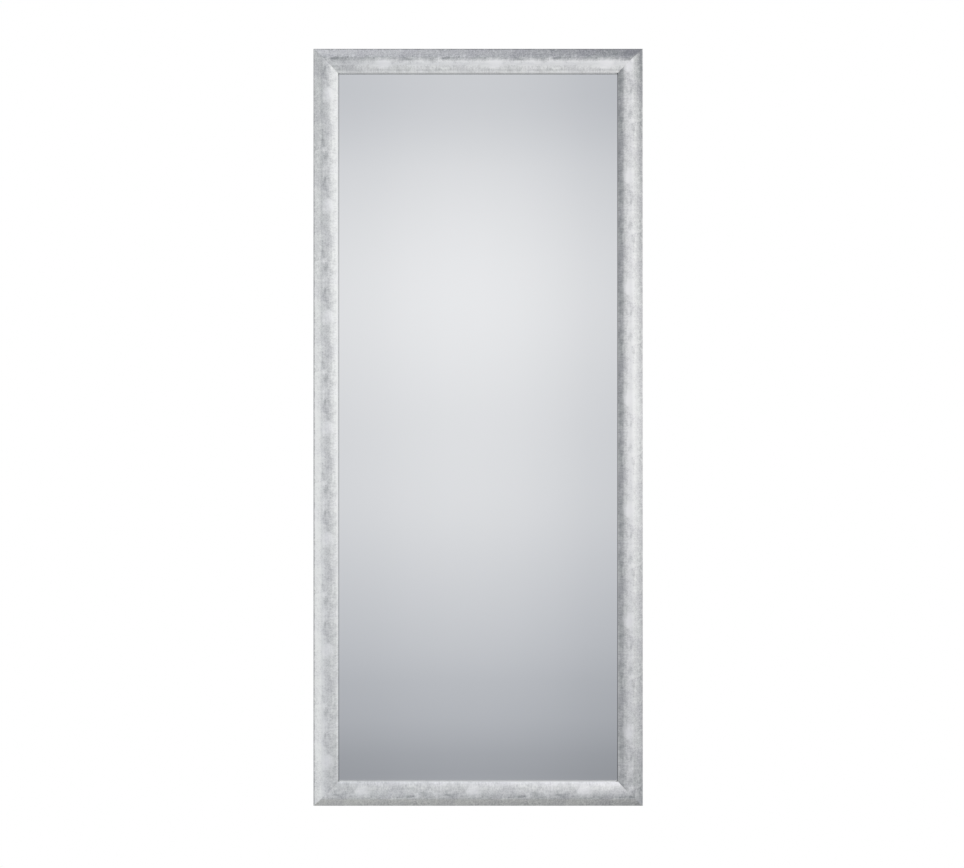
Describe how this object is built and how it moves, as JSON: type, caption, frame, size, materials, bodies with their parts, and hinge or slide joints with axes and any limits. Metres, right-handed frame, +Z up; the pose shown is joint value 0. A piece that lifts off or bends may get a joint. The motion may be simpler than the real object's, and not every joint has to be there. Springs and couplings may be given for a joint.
{
  "type": "wall mirror",
  "caption": "Tall rectangular wall mirror in a mitred silver moulding that rises to a soft crest and rolls down to the pane, with ring hangers and wall bumpers behind.",
  "frame": {"origin": "centre of the outline, in the plane of the bumper faces, which is the wall's surface", "axes": "+X to the right as seen from the front, +Y from the front to the wall, +Z up along the long sides"},
  "size_m": [0.693, 0.0345, 1.593],
  "materials": {
    "silver_moulding": "mottled silver foil over a sanded core, satin",
    "silvered_pane": "clear float glass, silvered on the back",
    "foam": "closed-cell foam sheet",
    "hardboard": "plain hardboard",
    "packer": "moulded strip",
    "fixing_steel": "plain steel",
    "hanger_steel": "bright zinc plate",
    "screw_steel": "bright zinc plate",
    "bumper": "matt soft rubber"
  },
  "bodies": {
    "mirror": {"backing_board": "hardboard", "corner_nails_bottom_left": "fixing_steel", "corner_nails_bottom_right": "fixing_steel", "corner_nails_top_left": "fixing_steel", "corner_nails_top_right": "fixing_steel", "edge_packers_bottom": "packer", "edge_packers_left": "packer", "edge_packers_right": "packer", "edge_packers_top": "packer", "foam_interlayer": "foam", "frame_rail_bottom": "silver_moulding", "frame_rail_left": "silver_moulding", "frame_rail_right": "silver_moulding", "frame_rail_top": "silver_moulding", "glazing_points_bottom": "fixing_steel", "glazing_points_left": "fixing_steel", "glazing_points_right": "fixing_steel", "glazing_points_top": "fixing_steel", "hanger_screws_left": "screw_steel", "hanger_screws_right": "screw_steel", "hanger_strap_left": "hanger_steel", "hanger_strap_right": "hanger_steel", "mirror_pane": "silvered_pane", "wall_bumper_bottom_left": "bumper", "wall_bumper_bottom_right": "bumper", "wall_bumper_top_left": "bumper", "wall_bumper_top_right": "bumper"},
    "ring_left": {"hanger_ring_left": "hanger_steel"},
    "ring_right": {"hanger_ring_right": "hanger_steel"}
  },
  "joints": [
    {"name": "ring_left_swing", "type": "hinge", "parent": "mirror", "child": "ring_left", "pos_m": [-0.32375, -0.00372, 0.4965], "axis": [-1, 0, 0], "range_deg": [-2, 174]},
    {"name": "ring_right_swing", "type": "hinge", "parent": "mirror", "child": "ring_right", "pos_m": [0.32375, -0.00372, 0.4965], "axis": [-1, 0, 0], "range_deg": [-2, 174]}
  ]
}
